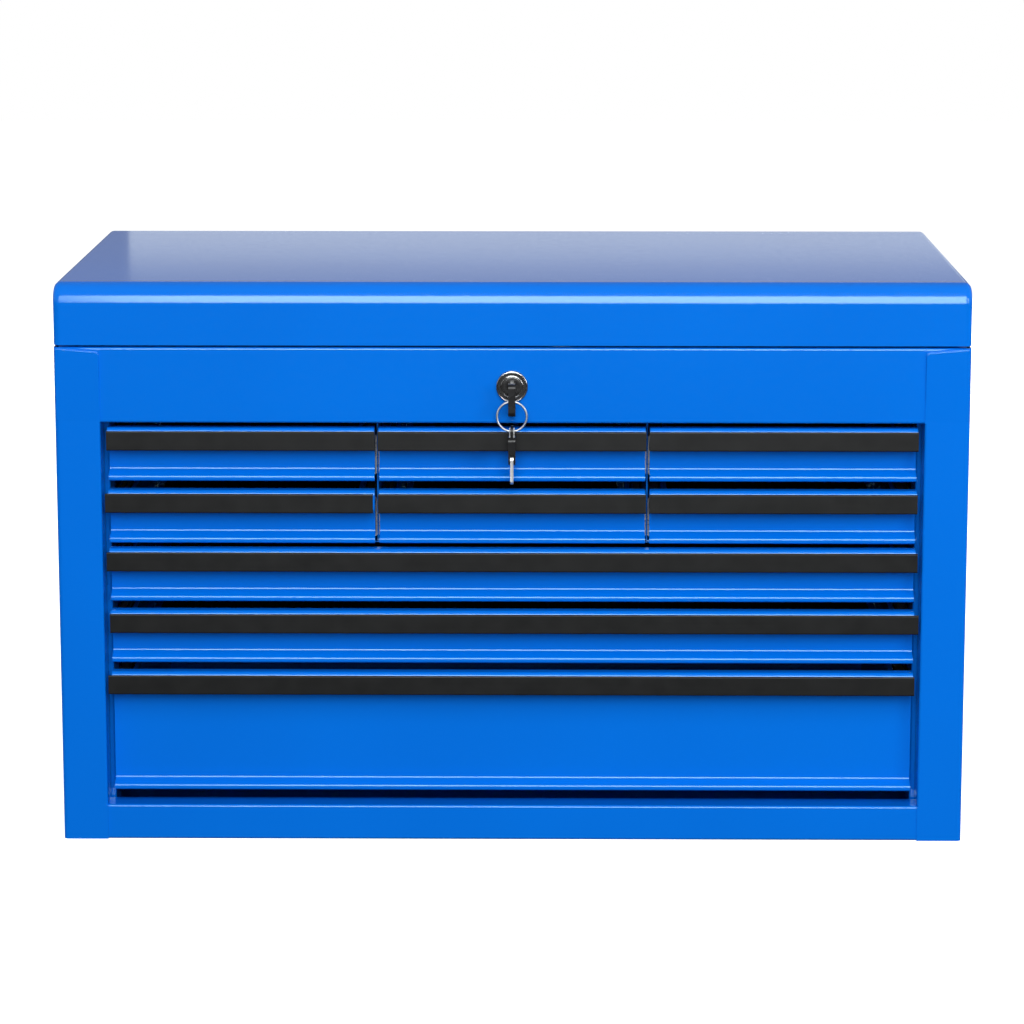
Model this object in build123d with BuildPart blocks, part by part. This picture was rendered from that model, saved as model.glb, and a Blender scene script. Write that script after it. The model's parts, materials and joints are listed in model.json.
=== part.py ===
from build123d import *
from math import hypot, sqrt
import os

# A top tool chest in folded sheet steel: nine drawers on ball slides, an open till above them and a
# hinged lid on two gas struts. A cam lock in the rail below the lid carries two folding keys on a ring.
# The origin is the middle of the base, on the surface that the chest stands on. +Z is up, the drawers
# open towards -Y and X runs along the chest. All sizes are in millimetres.

# --- Cabinet ---------------------------------------------------------------------------------------
WIDTH = 616.0
DEPTH = 330.0
HEIGHT = 384.0
SHEET = 0.8
STILE_WIDTH = 30.5
FRAME_RETURN = 22.0
FRAME_BEND = 1.6
CABINET_CORNER = 3.0
BOTTOM_RAIL = 24.2
RAIL_LIP = 6.0
LOCK_RAIL = 51.3
RIM = 10.0
RAIL_RIM = 15.0
SEAM_FLANGE = 12.0
STILE_TOP_FALL = 2.0
TOUCH = 0.2
CUT_SHEETS = 3

# --- Lid and its piano hinge -----------------------------------------------------------------------
LID_SKIRT = 41.5
LID_GAP = 1.4
LID_FRONT_ROLL = 13.0
LID_BACK_ROLL = 5.0
LID_EDGE = 4.5
LID_RETURN = 8.0
PIN_RADIUS = 1.5
PIN_FIT = 0.03
KNUCKLE_WALL = 1.1
KNUCKLE_GAP = 0.3
KNUCKLE_END_GAP = 0.4
KNUCKLE_COUNT = 18
LEAF = 1.0
LEAF_HEIGHT = 14.0
HINGE_END = 38.0

# --- Gas struts ------------------------------------------------------------------------------------
STRUT_INSET = 18.0
STRUT_REACH = 60.0
STRUT_DROP = 42.0
STRUT_RISE = 33.0
STRUT_TUBE_RADIUS = 4.5
STRUT_BORE_RADIUS = 3.2
STRUT_TUBE_END = 63.0
STRUT_CAP = 3.0
STRUT_END_WALL = 2.0
STRUT_ROD_RADIUS = 2.0
STRUT_ROD_FIT = 0.05
STRUT_PISTON = 4.0
STRUT_PISTON_GAP = 0.3
STRUT_EYE_RADIUS = 5.0
STRUT_EYE_WIDTH = 8.0
STUD_RADIUS = 2.5
STUD_FIT = 0.05
STUD_BASE_RADIUS = 5.0
STUD_BASE = 2.0
STUD_HEAD_RADIUS = 4.0
STUD_HEAD = 1.5

# --- Drawer openings -------------------------------------------------------------------------------
SHALLOW_FRONT = 37.2
TOP_GAP = 3.8
ROW_GAP = 5.6
SHELF_GAP = 3.2
BOTTOM_GAP = 9.0
SIDE_GAP = 4.25
COLUMN_GAP = 3.0

# --- Drawer fronts, trays and pulls ----------------------------------------------------------------
FACE_RECESS = 14.0
HEM_RECESS = 7.0
HEM_HEIGHT = 3.8
LEDGE_TOP = 7.0
FRONT_BEND = 2.0
LIP_BEND = 2.4
TRAY_SHORT = 7.0
TRAY_HEM = 4.0
TRAY_BACK_GAP = 31.0
BACK_WALL_DROP = 5.0
PULL_TOP = 2.2
PULL_HEIGHT = 13.1
PULL_WALL = 1.7
PULL_FOOT = 2.2
PULL_HOOK = 1.7
PULL_HOOK_HEIGHT = 7.0
PULL_SLOT_FIT = 0.05
PULL_ROUND = 0.8
PULL_SET_BACK = 0.2
PULL_OVERHANG_SMALL = 0.5
PULL_OVERHANG_WIDE = 1.5

# --- Ball slides -----------------------------------------------------------------------------------
SLIDE_WIDTH = 10.0
SLIDE_HEIGHT = 27.0
SLIDE_SHEET = 1.2
SLIDE_BALL_GAP = 2.0
SLIDE_LIP = 8.5
SLIDE_FLANGE = 7.2
SLIDE_DROP = 21.7
SLIDE_FRONT_GAP = 2.2
SLIDE_BACK_GAP = 12.0
SLIDE_OUTER_LAG = 7.0
POST_WIDTH = 30.0
DIVIDER = 1.0
DIVIDER_FLANGE = 8.0

# --- Lock and keys ---------------------------------------------------------------------------------
LOCK_BELOW_RIM = 26.3
LOCK_FLANGE_RADIUS = 10.7
LOCK_FLANGE = 2.0
LOCK_FLANGE_ROUND = 0.9
LOCK_BARREL_RADIUS = 9.2
LOCK_BARREL = 20.0
LOCK_HOLE_GAP = 0.1
PLUG_RADIUS = 6.2
PLUG_FIT = 0.05
PLUG_FACE_RADIUS = 7.6
PLUG_FACE = 1.0
PLUG_FACE_GAP = 0.3
NUT_RADIUS = 12.0
NUT = 3.0
CAM = 2.0
CAM_HALF_WIDTH = 6.0
CAM_REACH = 24.0
TAIL_RADIUS = 3.0
TAIL = 4.0
CATCH = 1.5
CATCH_GAP = 0.8
CATCH_WIDTH = 12.0
CATCH_LIP = 4.0
CATCH_SIDE_GAP = 4.0
CATCH_SHELF_HEIGHT = 9.5
CATCH_TAB = 10.0
KEY_SHEET = 2.2
KEY_BLADE_WIDTH = 8.0
KEY_FIT = 0.05
KEY_DEPTH = 16.0
KEY_PIVOT_OUT = 4.8
KEY_TANG_RADIUS = 3.2
KEY_PIN_RADIUS = 1.2
KEY_HEAD = 4.8
KEY_HEAD_TOP = 3.6
KEY_HEAD_LENGTH = 22.0
KEY_HEAD_BEHIND = 3.6
KEY_HEAD_FRONT = 9.0
KEY_HEAD_ROUND = 3.0
KEY_SLOT_GAP = 0.3
KEY_HOLE_RADIUS = 2.2
RING_RADIUS = 10.0
RING_WIRE = 0.75
RING_BELOW_PIVOT = 8.7
RING_BEFORE_PIVOT = 4.0
SPARE_EYE_RADIUS = 4.0
SPARE_EYE_SHEET = 1.6
SPARE_HEAD_DROP = 3.6
SPARE_HEAD_LENGTH = 19.0
SPARE_HEAD_WIDTH = 12.0
SPARE_BLADE_LENGTH = 13.2
SPARE_BLADE_WIDTH = 7.0

# --- Side handles ----------------------------------------------------------------------------------
HANDLE_HEIGHT = 200.0
HANDLE_ARM = 35.0
HANDLE_HALF_WIDTH = 42.0
HANDLE_ROD_RADIUS = 3.0
HANDLE_FIT = 0.05
HANDLE_BEND = 6.0
HANDLE_BEND_INSIDE = 0.3
HANDLE_STUB = 10.0
HANDLE_OUT = 6.5
BRACKET = 1.5
BRACKET_EAR = 3.0
BRACKET_EAR_HALF = 5.5
BRACKET_BELOW = 24.0
BRACKET_MARGIN = 3.0

# --- Levels and places that follow from the sizes above ----------------------------------------------
FRONT_Y = -DEPTH / 2
BACK_Y = DEPTH / 2
SIDE_X = WIDTH / 2
INSIDE_X = SIDE_X - SHEET
FOLD_X = SIDE_X - CABINET_CORNER
INSIDE_BACK_Y = BACK_Y - 2 * SHEET
RAIL_Y = FRONT_Y + SHEET
LID_BOTTOM = HEIGHT - LID_SKIRT
BODY_TOP = LID_BOTTOM - LID_GAP
OPENING_TOP = BODY_TOP - LOCK_RAIL
OPENING_X = SIDE_X - STILE_WIDTH
TILL_FLOOR = OPENING_TOP + SHEET

KNUCKLE_RADIUS = PIN_RADIUS + PIN_FIT + KNUCKLE_WALL
HINGE_Y = BACK_Y + KNUCKLE_RADIUS + KNUCKLE_GAP
HINGE_Z = BODY_TOP + LID_GAP / 2
HINGE_HALF = SIDE_X - HINGE_END

FRONTS_WIDTH = 2 * (OPENING_X - SIDE_GAP)
SMALL_FRONT = (FRONTS_WIDTH - 2 * COLUMN_GAP) / 3
PITCH = SMALL_FRONT + COLUMN_GAP
SMALL_TRAY = PITCH - DIVIDER - 2 * SLIDE_WIDTH
POST_X = 1.5 * PITCH - DIVIDER / 2
WIDE_TRAY = 2 * (POST_X - SLIDE_WIDTH)
FACE_Y = FRONT_Y + FACE_RECESS
FACE_BACK_Y = FACE_Y + SHEET
TRAY_BACK_Y = BACK_Y - TRAY_BACK_GAP
SLIDE_FRONT_Y = FACE_BACK_Y + SLIDE_FRONT_GAP
SLIDE_BACK_Y = TRAY_BACK_Y - SLIDE_BACK_GAP
OUTER_FRONT_Y = SLIDE_FRONT_Y + SLIDE_OUTER_LAG
OUTER_BACK_Y = SLIDE_BACK_Y + SLIDE_OUTER_LAG
DIVIDER_FRONT_Y = FRONT_Y + FRAME_RETURN + TOUCH

STEP = SHALLOW_FRONT + ROW_GAP
ROW_1_TOP = OPENING_TOP - TOP_GAP
ROW_2_TOP = ROW_1_TOP - STEP
ROW_3_TOP = ROW_2_TOP - SHALLOW_FRONT - SHELF_GAP
ROW_4_TOP = ROW_3_TOP - STEP
ROW_5_TOP = ROW_4_TOP - STEP
DEEP_FRONT = ROW_5_TOP - BOTTOM_RAIL - BOTTOM_GAP
SHELF_Z = ROW_3_TOP + (SHELF_GAP - SHEET) / 2

# Each drawer: name, middle in X, top of its front, height of its front, width of its front, width of
# its tray, width of its pull, and how far its pull has slipped sideways on the lip that it clips to.
SMALL = (SHALLOW_FRONT, SMALL_FRONT, SMALL_TRAY, SMALL_FRONT + 2 * PULL_OVERHANG_SMALL)
WIDE = (FRONTS_WIDTH, WIDE_TRAY, FRONTS_WIDTH + 2 * PULL_OVERHANG_WIDE)
DRAWERS = [
    ("top_left", -PITCH, ROW_1_TOP, *SMALL, 0.0),
    ("top_middle", 0.0, ROW_1_TOP, *SMALL, 0.0),
    ("top_right", PITCH, ROW_1_TOP, *SMALL, 0.0),
    ("second_left", -PITCH, ROW_2_TOP, *SMALL, -1.5),
    ("second_middle", 0.0, ROW_2_TOP, *SMALL, 0.0),
    ("second_right", PITCH, ROW_2_TOP, *SMALL, 0.0),
    ("third", 0.0, ROW_3_TOP, SHALLOW_FRONT, *WIDE, -0.2),
    ("fourth", 0.0, ROW_4_TOP, SHALLOW_FRONT, *WIDE, 1.2),
    ("bottom", 0.0, ROW_5_TOP, DEEP_FRONT, *WIDE, -0.7),
]

LOCK_Z = BODY_TOP - LOCK_BELOW_RIM
LOCK_FRONT_Y = RAIL_Y - LOCK_FLANGE
LOCK_BACK_Y = RAIL_Y + LOCK_BARREL
KEY_PIVOT_Y = LOCK_FRONT_Y - KEY_PIVOT_OUT
RING_Y = KEY_PIVOT_Y - RING_BEFORE_PIVOT
RING_TOP_Z = LOCK_Z - RING_BELOW_PIVOT
RING_LOW_Z = RING_TOP_Z - 2 * RING_RADIUS
SPARE_HEAD_Z = RING_LOW_Z - SPARE_HEAD_DROP
SPARE_PIVOT_Z = SPARE_HEAD_Z - SPARE_HEAD_LENGTH + KEY_TANG_RADIUS


def save(piece, label):
    """Names a finished piece and writes it to its own file."""
    piece.part.label = label
    export_step(piece.part, f"parts/{label}.step")


def folded(plane, points, radii, thickness=SHEET, side=Side.RIGHT):
    """A folded sheet's section: one skin of it as a polyline with rounded bends, thickened to one side."""
    with BuildSketch(plane) as section:
        with BuildLine():
            FilletPolyline(*points, radius=radii)
            offset(amount=thickness, side=side)
        make_face()
    return section.sketch


def slab(x, y, z, mode=Mode.ADD):
    """A block between two values on each axis, joined to or cut from the piece being built."""
    middle = ((x[0] + x[1]) / 2, (y[0] + y[1]) / 2, (z[0] + z[1]) / 2)
    with Locations(middle):
        return Box(abs(x[1] - x[0]), abs(y[1] - y[0]), abs(z[1] - z[0]), mode=mode)


def disc(plane, radius, amount, bore=0.0):
    """A cylinder standing on a plane, with an optional bore through it."""
    with BuildSketch(plane) as outline:
        Circle(radius)
        if bore:
            Circle(bore, mode=Mode.SUBTRACT)
    return extrude(outline.sketch, amount=amount, mode=Mode.PRIVATE)


def across(x, y, z):
    """A plane that faces +X with its middle at a point, for a disc that lies across the chest."""
    return Plane(origin=(x, y, z), x_dir=(0, 1, 0), z_dir=(1, 0, 0))


def towards_back(x, y, z):
    """A plane that faces +Y with its middle at a point, for what passes through the lock rail."""
    return Plane(origin=(x, y, z), x_dir=(1, 0, 0), z_dir=(0, 1, 0))


os.makedirs("parts", exist_ok=True)

# --- Side panels: wall, seam flange at the back, and the stile folded round the drawer opening --------
for side, label in ((-1, "side_panel_left"), (1, "side_panel_right")):
    wall = [
        (side * (SIDE_X - SEAM_FLANGE), BACK_Y - SHEET),
        (side * SIDE_X, BACK_Y - SHEET),
        (side * SIDE_X, FRONT_Y),
        (side * OPENING_X, FRONT_Y),
    ]
    opening_edge = [(side * OPENING_X, FRONT_Y + FRAME_RETURN)]
    skin = Side.RIGHT if side > 0 else Side.LEFT
    bends = [FRAME_BEND, CABINET_CORNER]
    with BuildPart() as panel:
        extrude(folded(Plane.XY, wall, bends, side=skin), amount=BOTTOM_RAIL)
        middle_z = Plane.XY.offset(BOTTOM_RAIL)
        stile = folded(middle_z, wall + opening_edge, bends + [FRAME_BEND], side=skin)
        extrude(stile, amount=OPENING_TOP - BOTTOM_RAIL)
        upper_z = Plane.XY.offset(OPENING_TOP)
        extrude(folded(upper_z, wall, bends, side=skin), amount=LOCK_RAIL)
        rim_y = (RAIL_Y + RAIL_RIM + TOUCH, BACK_Y - SEAM_FLANGE)
        slab((side * (SIDE_X - RIM), side * (SIDE_X - SHEET / 2)), rim_y, (BODY_TOP - SHEET, BODY_TOP))
        with BuildSketch(Plane.XZ.offset(-FRONT_Y - 2 * SHEET)) as top_fall:
            with BuildLine():
                Polyline(
                    (side * OPENING_X, BODY_TOP),
                    (side * OPENING_X, BODY_TOP - STILE_TOP_FALL),
                    (side * (SIDE_X - CABINET_CORNER), BODY_TOP),
                    close=True,
                )
            make_face()
        extrude(amount=CUT_SHEETS * SHEET, mode=Mode.SUBTRACT)
    save(panel, label)

# --- Back panel, laid over the side panels' seam flanges ----------------------------------------------
with BuildPart() as back_panel:
    slab((-SIDE_X, SIDE_X), (BACK_Y - SHEET, BACK_Y), (0, BODY_TOP))
    rim_half = HINGE_HALF + TOUCH
    slab((-rim_half, rim_half), (BACK_Y - SHEET - RIM, BACK_Y - SHEET / 2), (BODY_TOP - SHEET, BODY_TOP))
save(back_panel, "back_panel")

# --- Base pan: floor with upturned edges; its front fold is the rail below the drawers ----------------
with BuildPart() as base_pan:
    pan = [
        (INSIDE_BACK_Y, SEAM_FLANGE),
        (INSIDE_BACK_Y, 0),
        (RAIL_Y, 0),
        (RAIL_Y, BOTTOM_RAIL),
        (FRONT_Y + FRAME_RETURN, BOTTOM_RAIL),
        (FRONT_Y + FRAME_RETURN, BOTTOM_RAIL - RAIL_LIP),
    ]
    extrude(folded(Plane.YZ.offset(-FOLD_X), pan, [FRAME_BEND] * 4), amount=2 * FOLD_X)
    edge_y = (FRONT_Y + FRAME_RETURN, INSIDE_BACK_Y - SHEET - FRAME_BEND)
    slab((-INSIDE_X, INSIDE_X), edge_y, (0, SHEET))
    for side in (-1, 1):
        slab((side * (INSIDE_X - SHEET), side * INSIDE_X), edge_y, (0, SEAM_FLANGE))
save(base_pan, "base_pan")

# --- Lock rail above the drawers, with the hole for the lock ------------------------------------------
with BuildPart() as lock_rail:
    rail = [
        (FRONT_Y + FRAME_RETURN, OPENING_TOP),
        (RAIL_Y, OPENING_TOP),
        (RAIL_Y, BODY_TOP),
        (RAIL_Y + RAIL_RIM, BODY_TOP),
    ]
    extrude(folded(Plane.YZ.offset(-FOLD_X), rail, [FRAME_BEND] * 2), amount=2 * FOLD_X)
    hole_radius = LOCK_BARREL_RADIUS + LOCK_HOLE_GAP
    add(disc(towards_back(0, RAIL_Y - SHEET, LOCK_Z), hole_radius, CUT_SHEETS * SHEET), mode=Mode.SUBTRACT)
save(lock_rail, "lock_rail")

# --- Till floor, on the lock rail's lower fold, with its front and back edges turned up ---------------
with BuildPart() as till_floor:
    floor_line = [
        (INSIDE_BACK_Y, TILL_FLOOR + RAIL_LIP),
        (INSIDE_BACK_Y, TILL_FLOOR),
        (RAIL_Y + SHEET + FRAME_BEND, TILL_FLOOR),
        (RAIL_Y + SHEET + FRAME_BEND, TILL_FLOOR + RAIL_LIP),
    ]
    extrude(folded(Plane.YZ.offset(-FOLD_X), floor_line, [FRAME_BEND] * 2), amount=2 * FOLD_X)
    floor_y = (FRONT_Y + FRAME_RETURN, INSIDE_BACK_Y - SHEET - FRAME_BEND)
    slab((-INSIDE_X, INSIDE_X), floor_y, (TILL_FLOOR, TILL_FLOOR + SHEET))
save(till_floor, "till_floor")

# --- Posts that carry the slides, two on each side ----------------------------------------------------
POST_YS = (OUTER_FRONT_Y, OUTER_BACK_Y - POST_WIDTH - SLIDE_OUTER_LAG)
with BuildPart() as slide_posts:
    for side in (-1, 1):
        for post_y in POST_YS:
            post = [
                (side * (INSIDE_X - SHEET), post_y),
                (side * POST_X, post_y),
                (side * POST_X, post_y + POST_WIDTH),
                (side * (INSIDE_X - SHEET), post_y + POST_WIDTH),
            ]
            skin = Side.RIGHT if side > 0 else Side.LEFT
            section = folded(Plane.XY.offset(SHEET), post, [FRAME_BEND] * 2, side=skin)
            extrude(section, amount=TILL_FLOOR - SHEET)
save(slide_posts, "slide_posts")

# --- Shelf between the small drawers and the wide ones ------------------------------------------------
with BuildPart() as middle_shelf:
    slab((-POST_X, POST_X), (DIVIDER_FRONT_Y, INSIDE_BACK_Y), (SHELF_Z, SHELF_Z + SHEET))
    between_posts = (POST_YS[0] + POST_WIDTH + TOUCH, POST_YS[1] - TOUCH)
    slab((-INSIDE_X, INSIDE_X), between_posts, (SHELF_Z, SHELF_Z + SHEET))
    for side in (-1, 1):
        slab((side * (INSIDE_X - SHEET), side * INSIDE_X), between_posts, (SHELF_Z - SEAM_FLANGE, SHELF_Z))
save(middle_shelf, "middle_shelf")

# --- Dividers between the columns of small drawers ----------------------------------------------------
with BuildPart() as column_dividers:
    for side in (-1, 1):
        web_x = side * PITCH / 2 - DIVIDER / 2
        divider = [
            (web_x + DIVIDER_FLANGE, SHELF_Z + SHEET),
            (web_x, SHELF_Z + SHEET),
            (web_x, TILL_FLOOR),
            (web_x + DIVIDER_FLANGE, TILL_FLOOR),
        ]
        section = folded(Plane.XZ.offset(-DIVIDER_FRONT_Y), divider, [FRAME_BEND] * 2, DIVIDER)
        extrude(section, amount=-(OUTER_BACK_Y - DIVIDER_FRONT_Y))
save(column_dividers, "column_dividers")


# --- Drawers, their pulls and their slides ------------------------------------------------------------
def slide_member(mount_x, towards, middle_z, half_height, depth, start_y, end_y):
    """One folded channel of a ball slide, its web at mount_x and its flanges pointing along towards."""
    channel = [
        (mount_x + towards * depth, middle_z - towards * half_height),
        (mount_x, middle_z - towards * half_height),
        (mount_x, middle_z + towards * half_height),
        (mount_x + towards * depth, middle_z + towards * half_height),
    ]
    section = folded(Plane.XZ.offset(-end_y), channel, [FRAME_BEND] * 2, SLIDE_SHEET)
    return extrude(section, amount=end_y - start_y, mode=Mode.PRIVATE)


def make_drawer(name, middle_x, top, height, front_width, tray_width):
    """The drawer's folded front and the tray behind it, as one piece of sheet."""
    low = top - height
    tray_top = top - TRAY_SHORT
    hem_y = FRONT_Y + HEM_RECESS
    flange_y = FRONT_Y + PULL_SET_BACK + PULL_WALL + SHEET
    front = [
        (FACE_BACK_Y, low),
        (hem_y, low),
        (hem_y, low + HEM_HEIGHT),
        (FACE_Y, low + LEDGE_TOP),
        (FACE_Y, top - SHEET),
        (flange_y, top - SHEET),
        (flange_y, top - PULL_TOP - PULL_HEIGHT + PULL_FOOT + PULL_SLOT_FIT),
    ]
    bends = [FRAME_BEND, FRONT_BEND, FRONT_BEND, LIP_BEND, LIP_BEND]
    tray = [
        (middle_x + tray_width / 2 - TRAY_HEM, tray_top),
        (middle_x + tray_width / 2, tray_top),
        (middle_x + tray_width / 2, low),
        (middle_x - tray_width / 2, low),
        (middle_x - tray_width / 2, tray_top),
        (middle_x - tray_width / 2 + TRAY_HEM, tray_top),
    ]
    inner_half = tray_width / 2 - SHEET / 2
    with BuildPart() as drawer:
        extrude(folded(Plane.YZ.offset(middle_x - front_width / 2), front, bends), amount=front_width)
        section = folded(Plane.XZ.offset(-TRAY_BACK_Y), tray, [FRAME_BEND] * 4)
        extrude(section, amount=TRAY_BACK_Y - FACE_Y - SHEET / 2)
        wall_x = (middle_x - inner_half, middle_x + inner_half)
        slab(wall_x, (TRAY_BACK_Y - SHEET, TRAY_BACK_Y), (low + SHEET / 2, tray_top - BACK_WALL_DROP))
    save(drawer, f"drawer_{name}")


def make_pull(name, middle_x, top, pull_width):
    """The pull: a bar with a hooked back that clips on the lip of the drawer's front."""
    pull_top = top - PULL_TOP
    foot = pull_top - PULL_HEIGHT
    front_y = FRONT_Y + PULL_SET_BACK
    slot_y = front_y + PULL_WALL
    hook_y = slot_y + SHEET + PULL_SLOT_FIT
    with BuildPart() as pull:
        with BuildSketch(Plane.YZ.offset(middle_x - pull_width / 2)) as bar:
            with BuildLine():
                Polyline(
                    (front_y, foot),
                    (front_y, pull_top),
                    (slot_y, pull_top),
                    (slot_y, foot + PULL_FOOT),
                    (hook_y, foot + PULL_FOOT),
                    (hook_y, foot + PULL_HOOK_HEIGHT),
                    (hook_y + PULL_HOOK, foot + PULL_HOOK_HEIGHT),
                    (hook_y + PULL_HOOK, foot),
                    close=True,
                )
            make_face()
            # In the sketch X is the chest's depth and Y is height.
            front_corners = bar.vertices().group_by(Axis.X)[0]
            foot_corner = bar.vertices().group_by(Axis.Y)[0].sort_by(Axis.X)[-1]
            fillet([*front_corners, foot_corner], PULL_ROUND)
        extrude(amount=pull_width)
    save(pull, f"pull_{name}")


def make_inner_slides(name, middle_x, top, tray_width):
    """The two slide members that are fixed to a drawer's tray."""
    half_height = SLIDE_HEIGHT / 2 - SLIDE_SHEET - SLIDE_BALL_GAP
    with BuildPart() as slides:
        for side in (-1, 1):
            place = (middle_x + side * tray_width / 2, side, top - SLIDE_DROP, half_height)
            add(slide_member(*place, SLIDE_FLANGE, SLIDE_FRONT_Y, SLIDE_BACK_Y))
    save(slides, f"slides_{name}")


for name, middle_x, top, height, front_width, tray_width, pull_width, slip in DRAWERS:
    make_drawer(name, middle_x, top, height, front_width, tray_width)
    make_pull(name, middle_x + slip, top, pull_width)
    make_inner_slides(name, middle_x, top, tray_width)

# --- Slide members that stay in the cabinet: each faces its drawer from a post or a divider ------------
with BuildPart() as outer_slides:
    for name, middle_x, top, height, front_width, tray_width, pull_width, slip in DRAWERS:
        for side in (-1, 1):
            mount_x = middle_x + side * (tray_width / 2 + SLIDE_WIDTH)
            place = (mount_x, -side, top - SLIDE_DROP, SLIDE_HEIGHT / 2)
            add(slide_member(*place, SLIDE_LIP, OUTER_FRONT_Y, OUTER_BACK_Y))
save(outer_slides, "outer_slides")


# --- Lid ----------------------------------------------------------------------------------------------
def lid_form(inset):
    """The lid's outer form as a solid, drawn in by an inset on every wall and lowered by it at the mouth."""
    with BuildPart() as form:
        with BuildSketch(Plane.YZ.offset(-SIDE_X + inset)) as side_view:
            with BuildLine():
                Polyline(
                    (FRONT_Y + inset, LID_BOTTOM - inset),
                    (FRONT_Y + inset, HEIGHT - inset),
                    (BACK_Y - inset, HEIGHT - inset),
                    (BACK_Y - inset, LID_BOTTOM - inset),
                    close=True,
                )
            make_face()
            # In the sketch X is the chest's depth and Y is height.
            fillet(side_view.vertices().group_by(Axis.Y)[-1].sort_by(Axis.X)[0], LID_FRONT_ROLL - inset)
            fillet(side_view.vertices().group_by(Axis.Y)[-1].sort_by(Axis.X)[-1], LID_BACK_ROLL - inset)
        extrude(amount=2 * (SIDE_X - inset))
        mouth = form.faces().sort_by(Axis.Z)[0].edges()
        ends = form.faces().filter_by(Axis.X).edges()
        fillet([edge for edge in ends if edge not in mouth], LID_EDGE - inset)
    return form.part


with BuildPart() as lid_shell:
    add(lid_form(0))
    add(lid_form(SHEET), mode=Mode.SUBTRACT)
    with BuildSketch(Plane.XY.offset(LID_BOTTOM)):
        RectangleRounded(WIDTH - SHEET, DEPTH - SHEET, LID_EDGE - SHEET / 2)
        with Locations((0, RIM)):
            Rectangle(WIDTH - 2 * LID_RETURN, DEPTH, mode=Mode.SUBTRACT)
        with Locations((0, BACK_Y)):
            Rectangle(WIDTH, 2 * SEAM_FLANGE, mode=Mode.SUBTRACT)
    extrude(amount=SHEET)
save(lid_shell, "lid_shell")


# --- Piano hinge: two leaves with knuckles in turn, and the pin through them ---------------------------
KNUCKLE_LENGTH = 2 * HINGE_HALF / KNUCKLE_COUNT


def hinge_leaf(own, up):
    """A leaf on the back of the chest: own is 0 or 1 for its knuckles, up is 1 for the lid and -1 below."""
    clear = KNUCKLE_RADIUS + KNUCKLE_GAP
    far = HINGE_Z + up * (clear + LEAF_HEIGHT)
    with BuildPart() as leaf:
        slab((-HINGE_HALF, HINGE_HALF), (BACK_Y, BACK_Y + LEAF), (HINGE_Z + up * clear, far))
        for index in range(own, KNUCKLE_COUNT, 2):
            start = -HINGE_HALF + index * KNUCKLE_LENGTH + KNUCKLE_END_GAP / 2
            end = start + KNUCKLE_LENGTH - KNUCKLE_END_GAP
            slab((start, end), (BACK_Y, BACK_Y + LEAF), (HINGE_Z, HINGE_Z + up * clear))
            add(disc(across(start, HINGE_Y, HINGE_Z), KNUCKLE_RADIUS, end - start))
        bore = PIN_RADIUS + PIN_FIT
        add(disc(across(-HINGE_HALF, HINGE_Y, HINGE_Z), bore, 2 * HINGE_HALF), mode=Mode.SUBTRACT)
    return leaf


save(hinge_leaf(0, -1), "hinge_body_leaf")
save(hinge_leaf(1, 1), "hinge_lid_leaf")

with BuildPart() as hinge_pin:
    add(disc(across(-HINGE_HALF, HINGE_Y, HINGE_Z), PIN_RADIUS, 2 * HINGE_HALF))
    for end in (-HINGE_HALF - LEAF, HINGE_HALF):
        add(disc(across(end, HINGE_Y, HINGE_Z), KNUCKLE_RADIUS, LEAF))
save(hinge_pin, "hinge_pin")

# --- Gas struts -----------------------------------------------------------------------------------------
# Both ends of a strut are equally far from the hinge, so it turns through exactly half the lid's angle.
STRUT_X = SIDE_X - STRUT_INSET
LOW_Y = HINGE_Y - sqrt(STRUT_REACH**2 - STRUT_DROP**2)
LOW_Z = HINGE_Z - STRUT_DROP
HIGH_Y = HINGE_Y - sqrt(STRUT_REACH**2 - STRUT_RISE**2)
HIGH_Z = HINGE_Z + STRUT_RISE
STRUT_LENGTH = hypot(HIGH_Y - LOW_Y, HIGH_Z - LOW_Z)


def strut_eye(x, y, z):
    """The eye at a strut's end, on a stud that points inwards from the side."""
    return disc(across(x - STRUT_EYE_WIDTH / 2, y, z), STRUT_EYE_RADIUS, STRUT_EYE_WIDTH)


def strut_eye_bore(x, y, z):
    """The hole through a strut's eye."""
    return disc(across(x - STRUT_EYE_WIDTH / 2, y, z), STUD_RADIUS + STUD_FIT, STRUT_EYE_WIDTH)


def stud(side, y, z):
    """A headed stud on the inner face of one side, through the strut's eye."""
    head_x = STRUT_X - STRUT_EYE_WIDTH / 2 - STUD_HEAD
    stem = INSIDE_X - head_x
    with BuildPart(mode=Mode.PRIVATE) as pin:
        add(disc(across(INSIDE_X - STUD_BASE, y, z), STUD_BASE_RADIUS, STUD_BASE))
        add(disc(across(head_x, y, z), STUD_RADIUS, stem))
        add(disc(across(head_x - STUD_HEAD, y, z), STUD_HEAD_RADIUS, STUD_HEAD))
    return pin.part if side > 0 else mirror(pin.part, about=Plane.YZ, mode=Mode.PRIVATE)


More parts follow.
